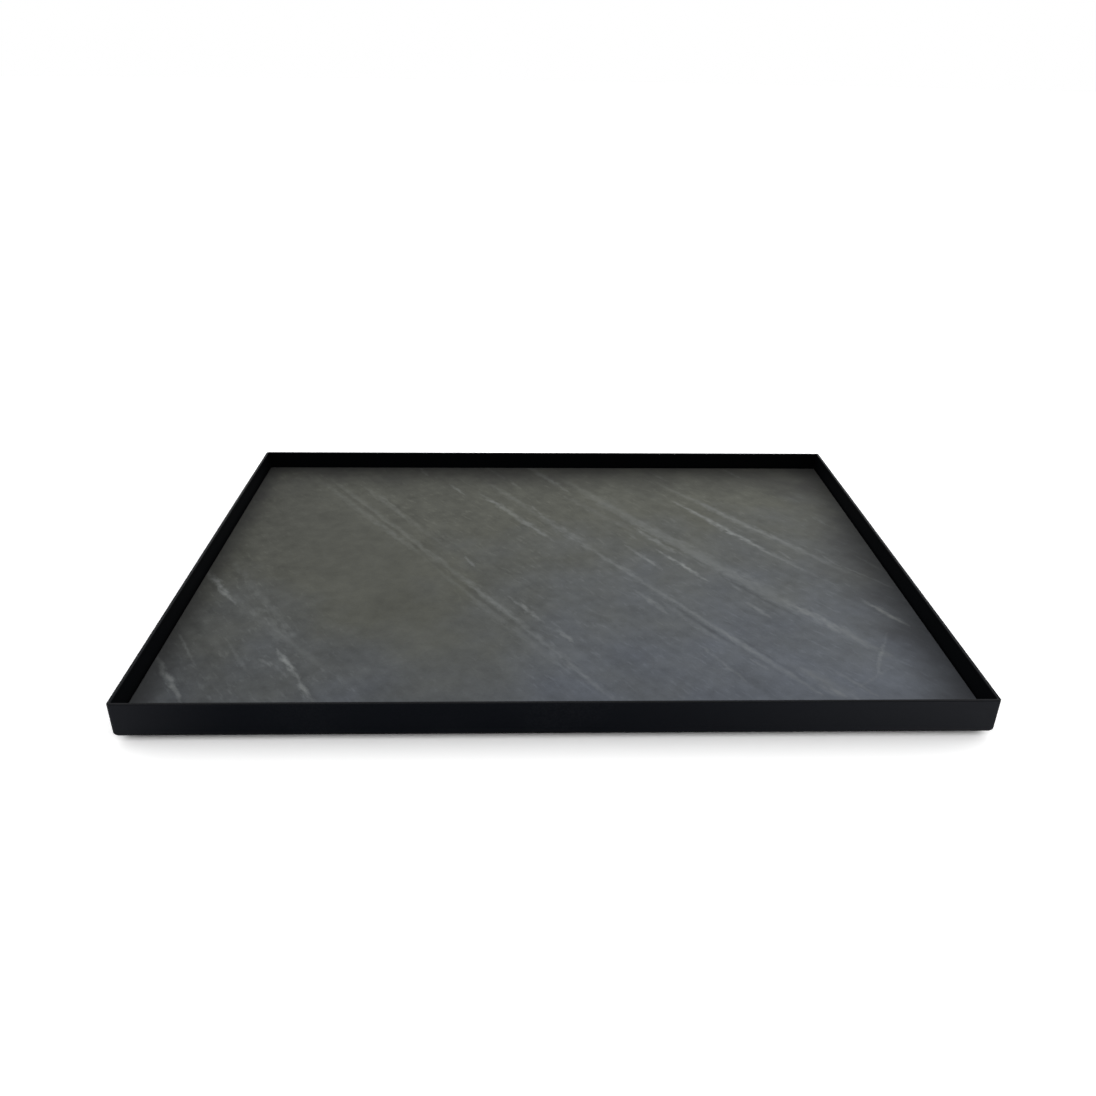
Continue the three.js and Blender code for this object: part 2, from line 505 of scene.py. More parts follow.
@dataclass(frozen=True)
class PowderCoat(Finish):
    """Deep black powder coat with fine orange peel and a little dust, with painted light: lighter outsides,
    a sheen towards the ends of the long sides, and a highlight along the rim.

    Lengths are in millimetres. Both sheen spans are measured from the tray's middle.
    """

    slot = Slot.POWDER_COAT
    node: str = PAN_NODE
    black: Colour = (0.0015, 0.0017, 0.0021, 1.0)
    lit_outside: Colour = (0.0038, 0.0046, 0.0065, 1.0)
    dust_and_sheen: Colour = (0.0205, 0.0215, 0.0250, 1.0)
    rim_highlight: Colour = (0.0070, 0.0075, 0.0090, 1.0)
    specular: float = 0.015
    roughness: Range = (0.32, 0.42)
    peel_sizes: Range = (1.6, 0.5)
    peel_depth: float = 0.015 * MM
    dust_sizes: Range = (45.0, 0.9)
    dust_share: float = 0.2
    sheen_left: Range = (138.0, 247.0)
    sheen_right: Range = (-10.0, 265.0)
    sheen_depth: float = 25.0
    outer_skin: Range = (0.2, 0.6)
    rim_depth: Range = (0.5, 0.2)

    def make(self) -> bpy.types.Material:
        """Builds the material.

        Returns:
            The material.
        """
        graph = self.graph
        # Painted light: the outsides of the walls are lighter than the insides.
        coated = graph.mix(self._outside(), self.black, self._outside_light_and_dust())
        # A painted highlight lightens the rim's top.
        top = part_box(self.node)[1].z * PER_MM
        below = graph.math("SUBTRACT", top, graph.dot(self.point, (0.0, 0.0, 1.0)))
        self.feed("Base Color", graph.mix(graph.span(below, *self.rim_depth), coated, self.rim_highlight))
        self.feed("Specular IOR Level", self.specular)
        self.texture(self.grain(*self.peel_sizes), self.roughness, self.peel_depth)
        return self.material

    def _inward(self) -> list[bpy.types.NodeSocket]:
        """How far a place lies in from the nearer end and from the nearer long side.

        Returns:
            Both distances.
        """
        graph = self.graph
        place = graph.add("ShaderNodeSeparateXYZ", {0: graph.vector("ABSOLUTE", self.point)}).outputs
        return [graph.math("SUBTRACT", half, place[axis]) for half, axis in zip(half_size(self.node), "XY")]

    def _outside(self) -> bpy.types.NodeSocket:
        """1 on the outsides of the walls and 0 inside."""
        nearest = self.graph.math("MINIMUM", *self._inward())
        return self.graph.span(nearest, *self.outer_skin, 1.0, 0.0)

    def _outside_light_and_dust(self) -> bpy.types.NodeSocket:
        """The outside's colour: painted light over the black, lighter still with a painted sheen near the
        ends of the long sides, and dust in patches.

        Returns:
            The colour.
        """
        graph = self.graph
        # A painted sheen lightens the long sides towards their ends. The dust patches share its colour.
        along = graph.dot(self.point, (1.0, 0.0, 0.0))
        right = graph.span(along, *self.sheen_right, smooth=True)
        left = graph.span(graph.math("MULTIPLY", along, -1.0), *self.sheen_left, smooth=True)
        on_side = graph.span(self._inward()[1], 0.0, self.sheen_depth, 1.0, 0.0, smooth=True)
        end_sheen = graph.math("MULTIPLY", graph.math("MAXIMUM", left, right), on_side)
        dust = graph.math("MULTIPLY", self.dust(*self.dust_sizes), self.dust_share)
        return graph.mix(graph.math("MAXIMUM", end_sheen, dust), self.lit_outside, self.dust_and_sheen)


@dataclass(frozen=True)
class Pattern:
    """Noise over the stone, about 0.5.

    Args:
        size: how large its features are, in millimetres.
        share: how much it counts.
        detail: how many finer layers it has.
        stretch: how far it is drawn out along the veins.
    """

    size: float
    share: float = 1.0
    detail: float = 2.0
    stretch: float = 1.0


@dataclass(frozen=True)
class VeinedStone(Finish):
    """Honed dark stone: pale lines and streaks that run one way over a softly mottled ground.

    Lengths are in millimetres. The stone is warm at the rear and cool at the front right, and a broad calm
    zone at the left stays warm. Painted shade darkens it along the walls; its reach is given for the left,
    right, front and rear wall.
    """

    slot = Slot.VEINED_STONE
    node: str = SLAB_NODE
    warm: Colour = (0.078, 0.080, 0.068, 1.0)
    cool: Colour = (0.078, 0.086, 0.100, 1.0)
    pale: Colour = (0.294, 0.308, 0.296, 1.0)
    # The colour of the painted shade along the walls.
    wall_shade: Colour = (0.030, 0.030, 0.031, 1.0)
    specular: float = 0.03
    roughness: Range = (0.58, 0.7)
    grain_sizes: Range = (1.4, 0.45)
    grain_share: float = 0.4
    grain_depth: float = 0.03 * MM
    vein_wander: tuple[Pattern, ...] = (Pattern(20.0, 3.0), Pattern(5.0, 1.8), Pattern(1.4, 1.5))
    chips: Pattern = Pattern(2.8, detail=5.0, stretch=2.2)
    chip_range: Range = (0.37, 0.63)
    surges: Pattern = Pattern(16.0, detail=1.0, stretch=2.0)
    surge_range: Range = (0.35, 0.6)
    surge_low: float = 0.45
    cool_slope: Place = (0.0014, -0.0045, 0.0)
    cool_middle: float = 0.29
    cool_by_veins: float = 0.5
    cool_in_calm: float = -0.4
    cool_patches: Pattern = Pattern(36.0, 0.8, 3.0)
    # Lighter towards the right: partly the stone's tone, partly a painted sheen.
    tone_and_sheen_slope: Place = (0.0011, 0.0, 0.0)
    clouds: Pattern = Pattern(28.0, 0.36, 1.0)
    mottle: Pattern = Pattern(7.0, 0.54, 4.0)
    mottle_in_calm: float = 0.38
    streaks: Pattern = Pattern(5.0, 0.32, 3.0, 7.0)
    flecks: Pattern = Pattern(2.4, 0.3, 2.0, 3.0)
    fleck_range: Range = (0.58, 0.8)
    wall_shade_depth: float = 0.64
    wall_shade_reach: tuple[float, float, float, float] = (16.0, 48.0, 10.0, 54.0)
    wall_shade_waver: Pattern = Pattern(30.0)

    def make(self) -> bpy.types.Material:
        """Builds the material.

        Returns:
            The material.
        """
        graph = self.graph
        grain = self.grain(*self.grain_sizes)
        veins = self._veins()
        pale = graph.math("MAXIMUM", veins, 0.0)
        dark = graph.math("MAXIMUM", graph.math("MULTIPLY", veins, -1.0), 0.0)
        calm = CALM_ZONE.draw(graph, self.groups.vein, self.point, 1.0, 0.0)
        hue = graph.mix(self._coolness(calm, pale), self.warm, self.cool)
        ground = graph.scaled(hue, self._lightness(calm, grain))
        lined = graph.mix(pale, ground, self.pale)
        shaded = graph.scaled(lined, graph.math("SUBTRACT", 1.0, dark))
        # Painted shade darkens the stone along the walls.
        self.feed("Base Color", graph.mix(self._unshaded(), self.wall_shade, shaded))
        self.feed("Specular IOR Level", self.specular)
        self.texture(grain, self.roughness, self.grain_depth)
        return self.material

    def _noise(self, pattern: Pattern) -> bpy.types.Node:
        """The noise of a pattern.

        Args:
            pattern: what the noise is like.

        Returns:
            The noise, whose first output is its value.
        """
        point = self.point
        if pattern.stretch != 1.0:
            turn = {"Vector": point, "Rotation": (0.0, 0.0, VEIN_ANGLE)}
            turned = self.graph.add("ShaderNodeMapping", turn).outputs[0]
            point = self.graph.vector("MULTIPLY", turned, (1.0 / pattern.stretch, 1.0, 1.0))
        return self.graph.noise(point, 1.0 / pattern.size, pattern.detail)

    def _offset(self, pattern: Pattern) -> bpy.types.NodeSocket:
        """A pattern's value about 0."""
        return self.graph.math("SUBTRACT", self._noise(pattern).outputs[0], NOISE_MIDDLE)

    def _veins(self) -> bpy.types.NodeSocket:
        """All the lines in one tone.

        Returns:
            The tone, above 0 where the lines are pale and below 0 where they are dark.
        """
        graph = self.graph
        point = self.point
        for wander in self.vein_wander:
            stray = graph.vector("SUBTRACT", self._noise(wander).outputs["Color"], (NOISE_MIDDLE,) * 3)
            point = graph.vector("ADD", point, graph.scaled(stray, wander.share))
        broken = graph.span(self._noise(self.chips).outputs[0], *self.chip_range)
        surges = self._noise(self.surges).outputs[0]
        surge = graph.span(surges, *self.surge_range, self.surge_low, 1.0, smooth=True)
        chips = graph.math("MULTIPLY", broken, surge)
        tone: Feed = 0.0
        for vein in VEINS:
            tone = vein.draw(graph, self.groups.vein, point, chips, tone)
        return tone

    def _coolness(self, calm: Feed, pale: Feed) -> bpy.types.NodeSocket:
        """How cool the ground's hue is.

        Args:
            calm: 1 in the calm zone and 0 outside it.
            pale: the tone of the pale lines, near which the stone is cooler.

        Returns:
            0 where the ground is warm, to 1 where it is cool.
        """
        graph = self.graph
        slope = graph.math("ADD", graph.dot(self.point, self.cool_slope), self.cool_middle)
        near_veins = graph.math("MULTIPLY_ADD", pale, self.cool_by_veins, slope)
        zoned = graph.math("MULTIPLY_ADD", calm, self.cool_in_calm, near_veins)
        return graph.math("MULTIPLY_ADD", self._offset(self.cool_patches), self.cool_patches.share, zoned)

    def _lightness(self, calm: Feed, grain: Feed) -> bpy.types.NodeSocket:
        """How light the ground is: clouded, mottled and speckled, and more lively outside the calm zone.

        Args:
            calm: 1 in the calm zone and 0 outside it.
            grain: the fine grain, about 0.5.

        Returns:
            A factor for the ground's colour, about 1.
        """
        graph = self.graph
        lively = graph.math("SUBTRACT", 1.0, calm)
        mottled = graph.span(calm, 0.0, 1.0, self.mottle.share, self.mottle_in_calm)
        shares = (
            (self._offset(self.clouds), self.clouds.share),
            (self._offset(self.mottle), mottled),
            (self._offset(self.streaks), graph.math("MULTIPLY", lively, self.streaks.share)),
            (graph.math("SUBTRACT", grain, NOISE_MIDDLE), self.grain_share),
        )
        # The tone starts from a slope that is lighter to the right, partly the stone's own and partly
        # painted sheen.
        tone = graph.math("ADD", graph.dot(self.point, self.tone_and_sheen_slope), 1.0)
        for value, share in shares:
            tone = graph.math("MULTIPLY_ADD", value, share, tone)
        specks = graph.span(self._noise(self.flecks).outputs[0], *self.fleck_range)
        return graph.math("MULTIPLY_ADD", graph.math("MULTIPLY", specks, lively), self.flecks.share, tone)

    def _unshaded(self) -> bpy.types.NodeSocket:
        """How much of the stone is left unshaded: all of it in the open, less along the walls, where painted
        shade darkens it.

        Returns:
            The unshaded share, up to 1.
        """
        graph = self.graph
        half_x, half_y = half_size(self.node)
        walls = (
            ((-1.0, 0.0, 0.0), half_x),
            ((1.0, 0.0, 0.0), half_x),
            ((0.0, -1.0, 0.0), half_y),
            ((0.0, 1.0, 0.0), half_y),
        )
        # The painted shade's edge wavers by noise.
        waver = self._offset(self.wall_shade_waver)
        unshaded: Feed = 1.0
        for (outward, half), reach in zip(walls, self.wall_shade_reach):
            to_wall = graph.math("SUBTRACT", half, graph.dot(self.point, outward))
            edge = graph.math("MULTIPLY_ADD", waver, reach, to_wall)
            share = graph.span(edge, 0.0, reach, 1.0 - self.wall_shade_depth, 1.0, smooth=True)
            unshaded = graph.math("MULTIPLY", unshaded, share)
        return unshaded


@dataclass(frozen=True)
class FoamTape(Finish):
    """Dark closed-cell foam tape. Cells are in millimetres."""

    slot = Slot.FOAM_TAPE
    foam: Colour = (0.026, 0.026, 0.028, 1.0)
    cell: Colour = (0.044, 0.044, 0.046, 1.0)
    cell_range: Range = (0.35, 0.65)
    roughness: Range = (0.82, 0.95)
    cell_sizes: Range = (0.5, 0.2)
    cell_depth: float = 0.04 * MM

    def make(self) -> bpy.types.Material:
        """Builds the material.

        Returns:
            The material.
        """
        grain = self.grain(*self.cell_sizes)
        shown = self.graph.span(grain, *self.cell_range)
        self.feed("Base Color", self.graph.mix(shown, self.foam, self.cell))
        self.texture(grain, self.roughness, self.cell_depth)
        return self.material


@dataclass(frozen=True)
class FootRubber(Finish):
    """Soft black rubber with a little bloom and dust. Grain and dust are in millimetres."""

    slot = Slot.FOOT_RUBBER
    rubber: Colour = (0.014, 0.014, 0.0145, 1.0)
    bloom: Colour = (0.040, 0.040, 0.039, 1.0)
    specular: float = 0.3
    roughness: Range = (0.66, 0.82)
    grain_sizes: Range = (0.7, 0.2)
    grain_depth: float = 0.01 * MM
    dust_sizes: Range = (5.0, 0.4)

    def make(self) -> bpy.types.Material:
        """Builds the material.

        Returns:
            The material.
        """
        dust = self.dust(*self.dust_sizes)
        self.feed("Base Color", self.graph.mix(dust, self.rubber, self.bloom))
        self.feed("Specular IOR Level", self.specular)
        self.texture(self.grain(*self.grain_sizes), self.roughness, self.grain_depth)
        return self.material


def linked(name: str, form: bmesh.types.BMesh) -> bpy.types.Object:
    """Puts a form into the scene as an object at the origin, and frees the form.

    Args:
        name: the name of the object and of its mesh.
        form: the finished form.

    Returns:
        The object.
    """
    mesh = bpy.data.meshes.new(name)
    form.to_mesh(mesh)
    form.free()
    made = bpy.data.objects.new(name, mesh)
    bpy.context.scene.collection.objects.link(made)
    return made


def made_plain(piece: bpy.types.Object) -> None:
    """Gives a piece the mesh that its modifiers make, and removes them.

    Args:
        piece: the piece.
    """
    evaluated = piece.evaluated_get(bpy.context.evaluated_depsgraph_get())
    mesh = bpy.data.meshes.new_from_object(evaluated)
    mesh.name = piece.name
    piece.modifiers.clear()
    piece.data = mesh


def arc(centre: Point, radius: float, start: float, end: float, steps: int) -> list[Point]:
    """Points on an arc.

    Args:
        centre: its centre.
        radius: its radius.
        start: the angle of the first point, in quarter turns.
        end: the angle of the last point, in quarter turns.
        steps: how many stretches it has.

    Returns:
        The points, both ends among them.
    """
    turns = [start + (end - start) * i / steps for i in range(steps + 1)]
    angles = [math.radians(QUARTER_TURN * turn) for turn in turns]
    return [(centre[0] + radius * math.cos(a), centre[1] + radius * math.sin(a)) for a in angles]


def rounded_rectangle(half_x: float, half_y: float, radius: float, steps: int) -> list[Point]:
    """The outline of a rectangle about the origin with rounded corners, anticlockwise.

    Args:
        half_x: half its size along X.
        half_y: half its size along Y.
        radius: its corners' radius.
        steps: how many stretches a corner has.

    Returns:
        The outline's points.
    """
    x = half_x - radius
    y = half_y - radius
    corners = ((x, y), (-x, y), (-x, -y), (x, -y))
    return [p for turn, corner in enumerate(corners) for p in arc(corner, radius, turn, turn + 1, steps)]


def loft(name: str, rings: list[list[Vector]]) -> bpy.types.Object:
    """A closed skin through rings of equally many points, with its two ends filled.

    Args:
        name: the object's name.
        rings: the rings, from the lower end on.

    Returns:
        The object, evenly shaded, with its faces pointing out.
    """
    form = bmesh.new()
    loops = [[form.verts.new(p) for p in ring] for ring in rings]
    count = len(rings[0])
    for low, high in zip(loops, loops[1:]):
        for i in range(count):
            form.faces.new((low[i], low[(i + 1) % count], high[(i + 1) % count], high[i]))
    form.faces.new(reversed(loops[0]))
    form.faces.new(loops[-1])
    for face in form.faces:
        face.smooth = True
    skin = linked(name, form)
    skin.modifiers.new("even_shading", "WEIGHTED_NORMAL")
    made_plain(skin)
    return skin


class MeshTree:
    """A Geometry Nodes tree with named inputs, which gives a piece a plain mesh."""

    FINISH = "Finish"
    RESULT = "Result"

    def __init__(self, name: str, inputs: dict[str, str]) -> None:
        """Starts the tree.

        Args:
            name: the tree's name.
            inputs: a socket type for each input's name, to which the finish is added.
        """
        self.tree = bpy.data.node_groups.new(name, "GeometryNodeTree")
        self.sockets: dict[str, str] = {}
        for label, kind in {**inputs, self.FINISH: "NodeSocketMaterial"}.items():
            socket = self.tree.interface.new_socket(name=label, in_out="INPUT", socket_type=kind)
            self.sockets[label] = socket.identifier
        self.tree.interface.new_socket(name=self.RESULT, in_out="OUTPUT", socket_type="NodeSocketGeometry")
        self.graph = Graph(self.tree)
        self.given = self.graph.add("NodeGroupInput").outputs

    def run(self, piece: bpy.types.Object, shape: Feed, values: dict[str, object]) -> None:
        """Ends the tree and gives a piece the mesh that it makes.

        Args:
            piece: the object that gets the mesh.
            shape: the geometry that the tree has made.
            values: a value for each named input.
        """
        real = self.graph.add("GeometryNodeRealizeInstances", {"Geometry": shape}).outputs[0]
        feeds = {"Geometry": real, "Material": self.given[self.FINISH]}
        dressed = self.graph.add("GeometryNodeSetMaterial", feeds).outputs[0]
        self.graph.add("NodeGroupOutput", {self.RESULT: dressed})
        modifier = piece.modifiers.new(self.tree.name, "NODES")
        modifier.node_group = self.tree
        for label, value in values.items():
            modifier[self.sockets[label]] = value
        made_plain(piece)


class Piece:
    """What every sub-assembly of the tray shares: dressing its finished mesh."""

    @staticmethod
    def dress(
        piece: bpy.types.Object, material: bpy.types.Material, slot: Slot, nodes: list[str]
    ) -> bpy.types.Object:
        """Finishes a piece and puts it in the place of CAD nodes.

        Args:
            piece: the finished object, at the origin.
            material: its finish.
            slot: the slot for that finish; not used.
            nodes: the CAD nodes that it stands for.

        Returns:
            The piece.
        """
        piece.data.materials.clear()
        piece.data.materials.append(material)
        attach(piece, BODY)
        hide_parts(*nodes)
        return piece


@dataclass
class SteelPan(Piece):
    """The folded pan: floor, four walls, round folds and ground corners."""

    node: str = PAN_NODE
    sheet: float = 1.5 * MM
    fold: float = 1.5 * MM
    corner: float = 1.5 * MM
    weld_fillet: float = 0.75 * MM
    rim_ease: float = 0.25 * MM
    fold_steps: int = 14
    corner_steps: int = 12
    rim_steps: int = 6

    def sections(self, height: float) -> tuple[list[Point], list[Point]]:
        """The folded sheet's outside and inside, as distances in from the tray's side and heights.

        Args:
            height: the height of the rim over the pan's underside.

        Returns:
            The outside from underside to rim, and the inside from rim to floor.
        """
        bend = self.fold + self.sheet
        shoulder = height - self.rim_ease
        outside = arc((bend, bend), bend, -1, -2, self.fold_steps)
        outside += arc((self.rim_ease, shoulder), self.rim_ease, 2, 1, self.rim_steps)
        inside = arc((self.sheet - self.rim_ease, shoulder), self.rim_ease, 1, 0, self.rim_steps)
        inside += arc((bend, bend), self.fold, 2, 3, self.fold_steps)
        return outside, inside

    def build(self, material: bpy.types.Material) -> bpy.types.Object:
        """Builds and dresses the pan.

        Args:
            material: its finish.

        Returns:
            The pan.
        """
        low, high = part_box(self.node)
        outside, inside = self.sections(high.z - low.z)
        rings = []
        for section, radius in ((outside, self.corner), (inside, self.weld_fillet)):
            for inset, height in section:
                outline = rounded_rectangle(high.x - inset, high.y - inset, radius, self.corner_steps)
                rings.append([Vector((x, y, low.z + height)) for x, y in outline])
        return self.dress(loft("tray_pan", rings), material, Slot.POWDER_COAT, [self.node])


@dataclass
class StoneSlab(Piece):
    """The thin slab on the pan's floor, with eased edges and a faint relief along its veins."""

    node: str = SLAB_NODE
    arris: float = 0.5 * MM
    corner: float = 1.25 * MM
    cell: float = 2.5 * MM
    relief: float = 0.05 * MM
    relief_size: float = 9.0 * MM
    relief_stretch: float = 10.0

    def build(self, material: bpy.types.Material) -> bpy.types.Object:
        """Builds and dresses the slab.

        Args:
            material: its finish.

        Returns:
            The slab.
        """
        slab = linked("stone_slab_face", self._blank())
        self._add_relief(slab, material)
        return self.dress(slab, material, Slot.VEINED_STONE, [self.node])

    def _stations(self, half: float) -> list[float]:
        """Grid lines across the slab: both edges, both arrises and an even grid between.

        Args:
            half: half the slab's size.

        Returns:
            Where the lines lie, from edge to edge.
        """
        inner = half - self.arris
        count = round(2 * inner / self.cell)
        return [-half, *(-inner + 2 * inner * i / count for i in range(count + 1)), half]

    def _blank(self) -> bmesh.types.BMesh:
        """The plain slab: a fine grid above, a chamfer all round, plain sides and underside.

        Returns:
            The closed form.
        """
        low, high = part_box(self.node)
        form = bmesh.new()
        self._face(form, high)
        rim = [edge for edge in form.edges if edge.is_boundary]
        rim = self._wall(form, rim, high.z - low.z - 2 * self.arris, 0.0)
        rim = self._wall(form, rim, self.arris, self.arris)
        bmesh.ops.holes_fill(form, edges=rim, sides=0)
        bmesh.ops.recalc_face_normals(form, faces=form.faces)
        return form

    def _face(self, form: bmesh.types.BMesh, high: Vector) -> None:
        """Adds the upper face, with its chamfer and its clipped corners.

        Args:
            form: the form being built.
            high: the slab's highest corner.
        """
        # So far in from the sharp corner, along both sides, lies the middle of a round one.
        clip = self.corner * (1.0 - math.sqrt(0.5))
        xs = self._stations(high.x)
        ys = self._stations(high.y)
        rows = []
        for x in xs:
            row = []
            for y in ys:
                at_end = x in (xs[0], xs[-1])
                at_side = y in (ys[0], ys[-1])
                drop = self.arris if at_end or at_side else 0.0
                pull = clip if at_end and at_side else 0.0
                place = (x - math.copysign(pull, x), y - math.copysign(pull, y), high.z - drop)
                row.append(form.verts.new(place))
            rows.append(row)
        for near, far in zip(rows, rows[1:]):
            for j in range(len(ys) - 1):
                form.faces.new((near[j], far[j], far[j + 1], near[j + 1]))

    @staticmethod
    def _wall(
        form: bmesh.types.BMesh, rim: list[bmesh.types.BMEdge], depth: float, inset: float
    ) -> list[bmesh.types.BMEdge]:
        """Draws the open rim down, and in by inset.

        Args:
            form: the form being built.
            rim: the open edges.
            depth: how far the new rim lies below the old one.
            inset: how far it lies inside it.

        Returns:
            The new open edges.
        """
        drawn = bmesh.ops.extrude_edge_only(form, edges=rim)["geom"]
        half_x = max(v.co.x for v in form.verts)
        half_y = max(v.co.y for v in form.verts)
        for vertex in (g for g in drawn if isinstance(g, bmesh.types.BMVert)):
            vertex.co.z -= depth
            vertex.co.x *= (half_x - inset) / half_x
            vertex.co.y *= (half_y - inset) / half_y
        return [g for g in drawn if isinstance(g, bmesh.types.BMEdge) and g.is_boundary]

    def _add_relief(self, slab: bpy.types.Object, material: bpy.types.Material) -> None:
        """Sinks the upper face unevenly, by noise drawn out along the veins.

        Args:
            slab: the plain slab.
            material: its finish.
        """
        sizes = {
            "Face Height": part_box(self.node)[1].z - self.arris / 2,
            "Relief": self.relief,
            "Relief Size": self.relief_size,
            "Stretch": self.relief_stretch,
            "Vein Angle": VEIN_ANGLE,
        }
        inputs = {"Slab": "NodeSocketGeometry", **dict.fromkeys(sizes, "NodeSocketFloat")}
        relief = MeshTree("slab_relief", inputs)
        graph = relief.graph
        given = relief.given
        place = graph.add("GeometryNodeInputPosition").outputs[0]
        turn = {"Vector": place, "Angle": given["Vein Angle"]}
        turned = graph.add("ShaderNodeVectorRotate", turn, rotation_type="Z_AXIS").outputs[0]
        narrow = {"X": graph.math("DIVIDE", 1.0, given["Stretch"]), "Y": 1.0, "Z": 0.0}
        along_veins = graph.vector("MULTIPLY", turned, graph.add("ShaderNodeCombineXYZ", narrow).outputs[0])
        scale = graph.math("DIVIDE", 1.0, given["Relief Size"])
        noise = graph.noise(along_veins, scale).outputs[0]
        # Noise is below 1, so the face only goes down and stays inside the CAD box.
        lift = graph.math("MULTIPLY", graph.math("SUBTRACT", noise, 1.0), given["Relief"])
        height = graph.add("ShaderNodeSeparateXYZ", {0: place}).outputs["Z"]
        move = {
            "Geometry": given["Slab"],
            "Selection": graph.math("GREATER_THAN", height, given["Face Height"]),
            "Offset": graph.add("ShaderNodeCombineXYZ", {"Z": lift}).outputs[0],
        }
        moved = graph.add("GeometryNodeSetPosition", move).outputs[0]
        relief.run(slab, moved, {**sizes, MeshTree.FINISH: material})


@dataclass
class BondTapes:
    """The strips of foam tape under the slab. Their CAD solids are right, and only get a finish."""

    places: tuple[str, ...] = ("front", "rear", "left", "right", "centre")

    def build(self, material: bpy.types.Material) -> list[bpy.types.Object]:
        """Dresses the strips.

        Args:
            material: their finish.

        Returns:
            The strips.
        """
        strips = [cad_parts[f"bond_tape_{place}"] for place in self.places]
        for strip in strips:
            strip.data.materials.clear()
            strip.data.materials.append(material)
        return strips


@dataclass
class BumperFeet(Piece):
    """The four round bumpers, one turned shape set at the corners."""

    places: tuple[str, ...] = ("front_left", "front_right", "rear_left", "rear_right")
    tip: float = 11.0 * MM
    edge: float = 0.5 * MM
    base_ease: float = 0.2 * MM
    edge_steps: int = 8
    round_steps: int = 64

    def build(self, material: bpy.types.Material) -> bpy.types.Object:
        """Builds and dresses the feet.

        Args:
            material: their finish.

        Returns:
            The feet, as one object.
        """
        nodes = [f"bumper_foot_{place}" for place in self.places]
        low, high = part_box(nodes[0])
        middle = (low + high) / 2
        bumper = self._bumper(high.x - low.x, high.z - low.z)
        feet = linked("bumper_feet", bmesh.new())
        self._set_at_corners(feet, bumper, (2 * abs(middle.x), 2 * abs(middle.y)), material)
        bpy.data.objects.remove(bumper)
        return self.dress(feet, material, Slot.FOOT_RUBBER, nodes)

    def _bumper(self, base: float, height: float) -> bpy.types.Object:
        """One bumper about the Z axis.

        Args:
            base: the diameter of its stuck face.
            height: its height.

        Returns:
            A smooth closed object.
        """
        flat = self.tip / 2 - self.edge
        top = base / 2 - self.base_ease
        profile = arc((flat, self.edge), self.edge, -1, 0, self.edge_steps)
        profile += arc((top, height - self.base_ease), self.base_ease, 0, 1, self.edge_steps)
        turns = [2 * math.pi * i / self.round_steps for i in range(self.round_steps)]
        rings = [[Vector((r * math.cos(a), r * math.sin(a), z)) for a in turns] for r, z in profile]
        return loft("bumper", rings)

    @staticmethod
    def _set_at_corners(
        feet: bpy.types.Object, bumper: bpy.types.Object, span: Point, material: bpy.types.Material
    ) -> None:
        """Sets a bumper at each corner of a rectangle.

        Args:
            feet: the object that holds them all.
            bumper: the one that is repeated.
            span: the rectangle's sides.
            material: their finish.
        """
        inputs = {"Bumper": "NodeSocketObject", "Span X": "NodeSocketFloat", "Span Y": "NodeSocketFloat"}
        spread = MeshTree("feet_at_corners", inputs)
        graph = spread.graph
        given = spread.given
        sides = {"Size X": given["Span X"], "Size Y": given["Span Y"], "Vertices X": 2, "Vertices Y": 2}
        corners = graph.add("GeometryNodeMeshGrid", sides).outputs["Mesh"]
        shape = graph.add("GeometryNodeObjectInfo", {"Object": given["Bumper"]}).outputs["Geometry"]
        placed = graph.add("GeometryNodeInstanceOnPoints", {"Points": corners, "Instance": shape}).outputs[0]
        values = {"Bumper": bumper, "Span X": span[0], "Span Y": span[1], MeshTree.FINISH: material}
        spread.run(feet, placed, values)


@dataclass
class PhotoCamera:
    """The photograph's camera, fitted to the rim's corners, the wall's foot and the slab's edges."""

    place: Place = (-17.3 * MM, -493.5 * MM, 275.8 * MM)
    pitch_down: float = math.radians(27.40)
    yaw: float = math.radians(-1.84)
    roll: float = math.radians(0.85)
    focal_px: float = 950.0
    frame_px: float = 1096.0
    sensor_mm: float = 36.0

    def build(self) -> None:
        """Makes the camera and gives it to the scene."""
        level = Vector((math.cos(self.yaw), math.sin(self.yaw), 0.0))
        ahead = Vector((-math.sin(self.yaw), math.cos(self.yaw), 0.0))
        up = Vector((0.0, 0.0, 1.0))
        forward = math.cos(self.pitch_down) * ahead - math.sin(self.pitch_down) * up
        upright = math.sin(self.pitch_down) * ahead + math.cos(self.pitch_down) * up
        right = math.cos(self.roll) * level + math.sin(self.roll) * upright
        top = math.cos(self.roll) * upright - math.sin(self.roll) * level
        data = bpy.data.cameras.new("photo_camera")
        data.sensor_width = self.sensor_mm
        data.lens = self.sensor_mm * self.focal_px / self.frame_px
        camera = bpy.data.objects.new("photo_camera", data)
        turn = Matrix((right, top, -forward)).transposed().to_4x4()
        camera.matrix_world = Matrix.Translation(self.place) @ turn
        bpy.context.scene.collection.objects.link(camera)
        bpy.context.scene.camera = camera


